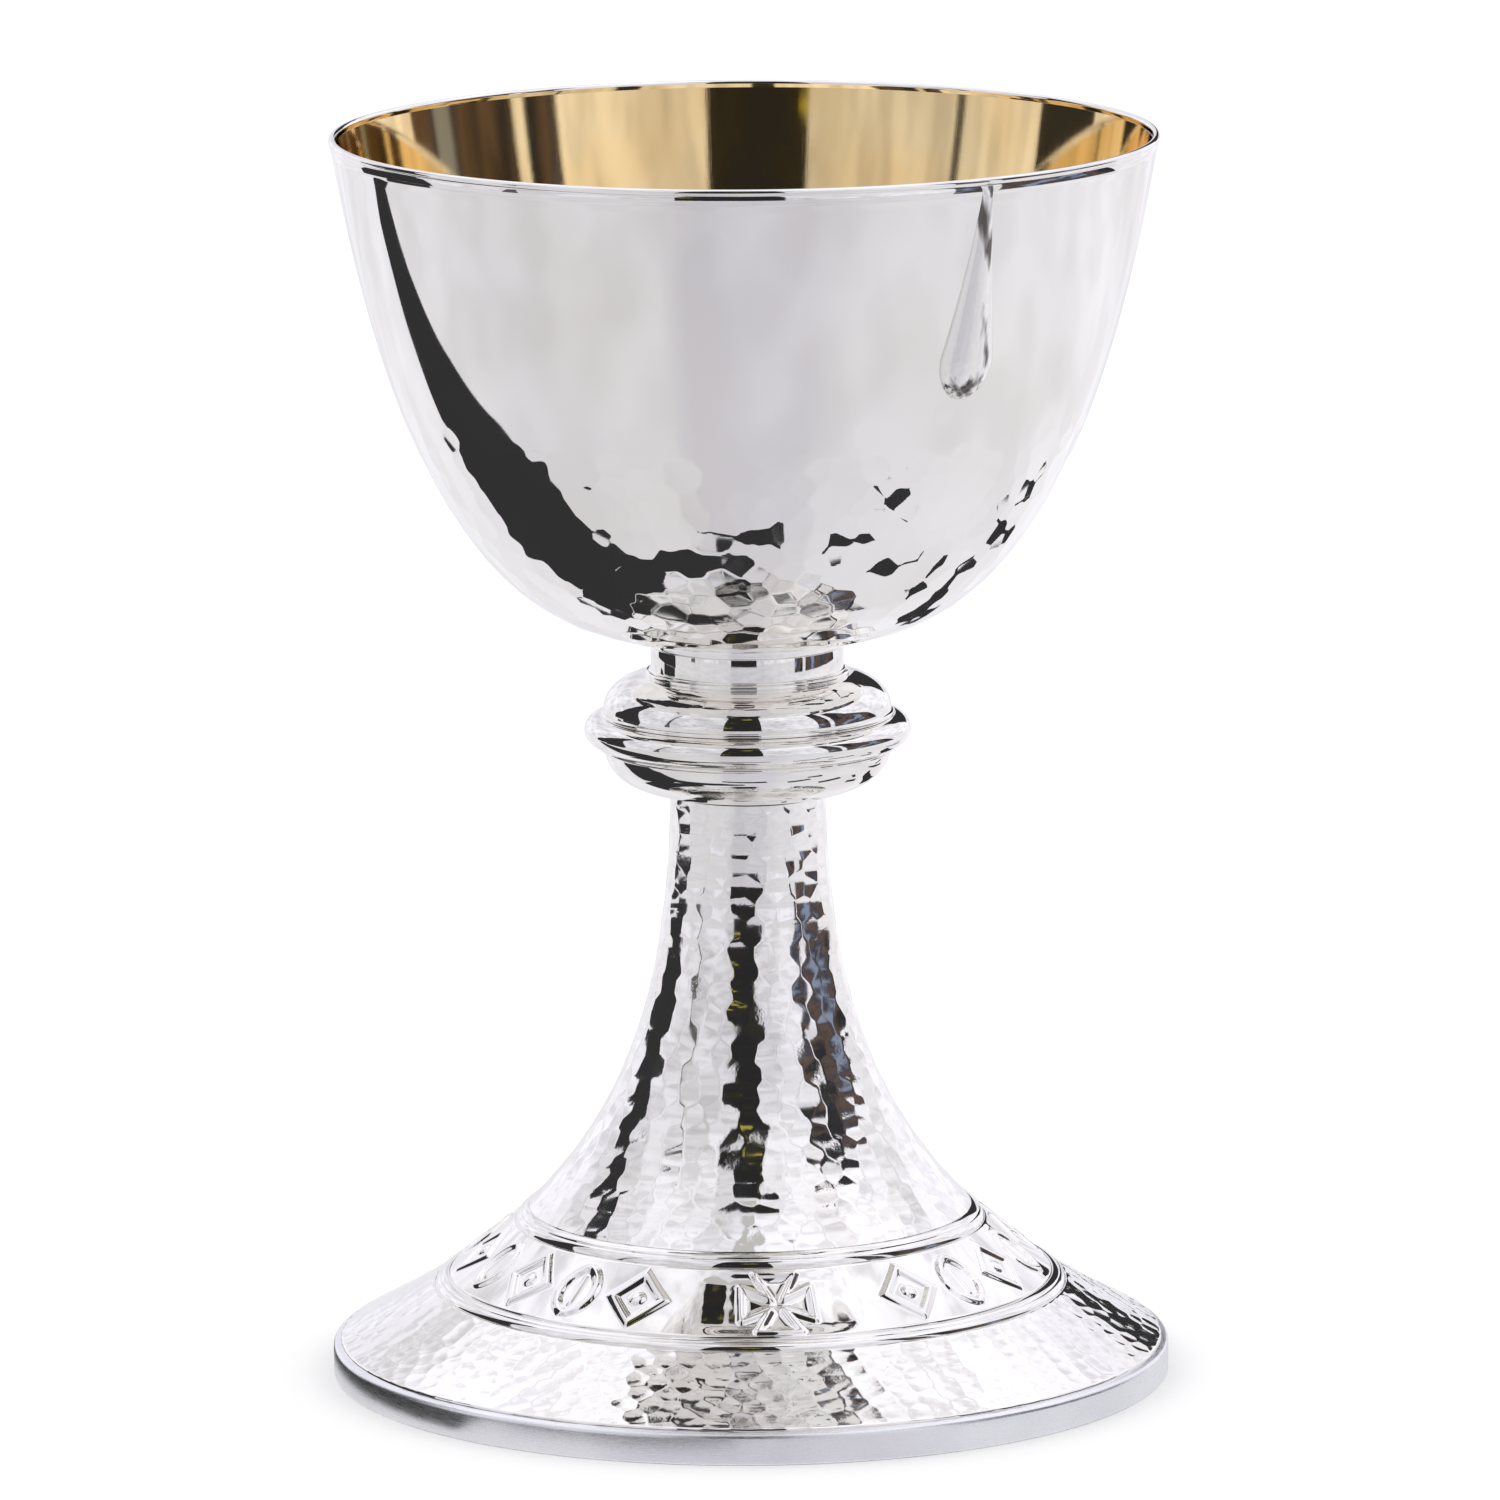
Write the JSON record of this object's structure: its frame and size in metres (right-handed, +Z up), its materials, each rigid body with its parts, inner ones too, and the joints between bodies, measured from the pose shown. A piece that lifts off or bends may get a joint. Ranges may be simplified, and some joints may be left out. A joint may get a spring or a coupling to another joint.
{
  "type": "communion chalice",
  "caption": "Silver communion chalice with a gilt cup, a turned knop and a hammered trumpet foot, for holding and sharing altar wine.",
  "frame": {"origin": "centre of the base, on the plane the foot stands on", "axes": "+Z up along the turning axis; the front of the foot, with its cross a little to the right, faces -Y; +X to the right"},
  "size_m": [0.1342, 0.1342, 0.2001],
  "materials": {
    "polished_silver": "mirror polished silver, slightly warm",
    "hammered_silver": "polished silver planished into small flat facets",
    "satin_silver": "satin brushed silver",
    "steel": "turned steel",
    "gilt": "polished gold plating, the inside of the cup"
  },
  "bodies": {
    "root": {"cup": "polished_silver", "bowl_drop": "polished_silver", "cup_seat_ring": "polished_silver", "cup_boss": "polished_silver", "tie_rod": "steel", "collar_tube": "polished_silver", "collar_bead": "polished_silver", "knop_upper_shell": "polished_silver", "knop_girdle": "polished_silver", "knop_lower_shell": "polished_silver", "knop_spacer": "polished_silver", "stem": "hammered_silver", "border_wire_upper": "polished_silver", "foot_band": "polished_silver", "border_wire_lower": "polished_silver", "foot_skirt": "hammered_silver", "rim_band": "satin_silver", "stem_top_plate": "steel", "washer": "steel", "retaining_nut": "steel"}
  },
  "joints": []
}
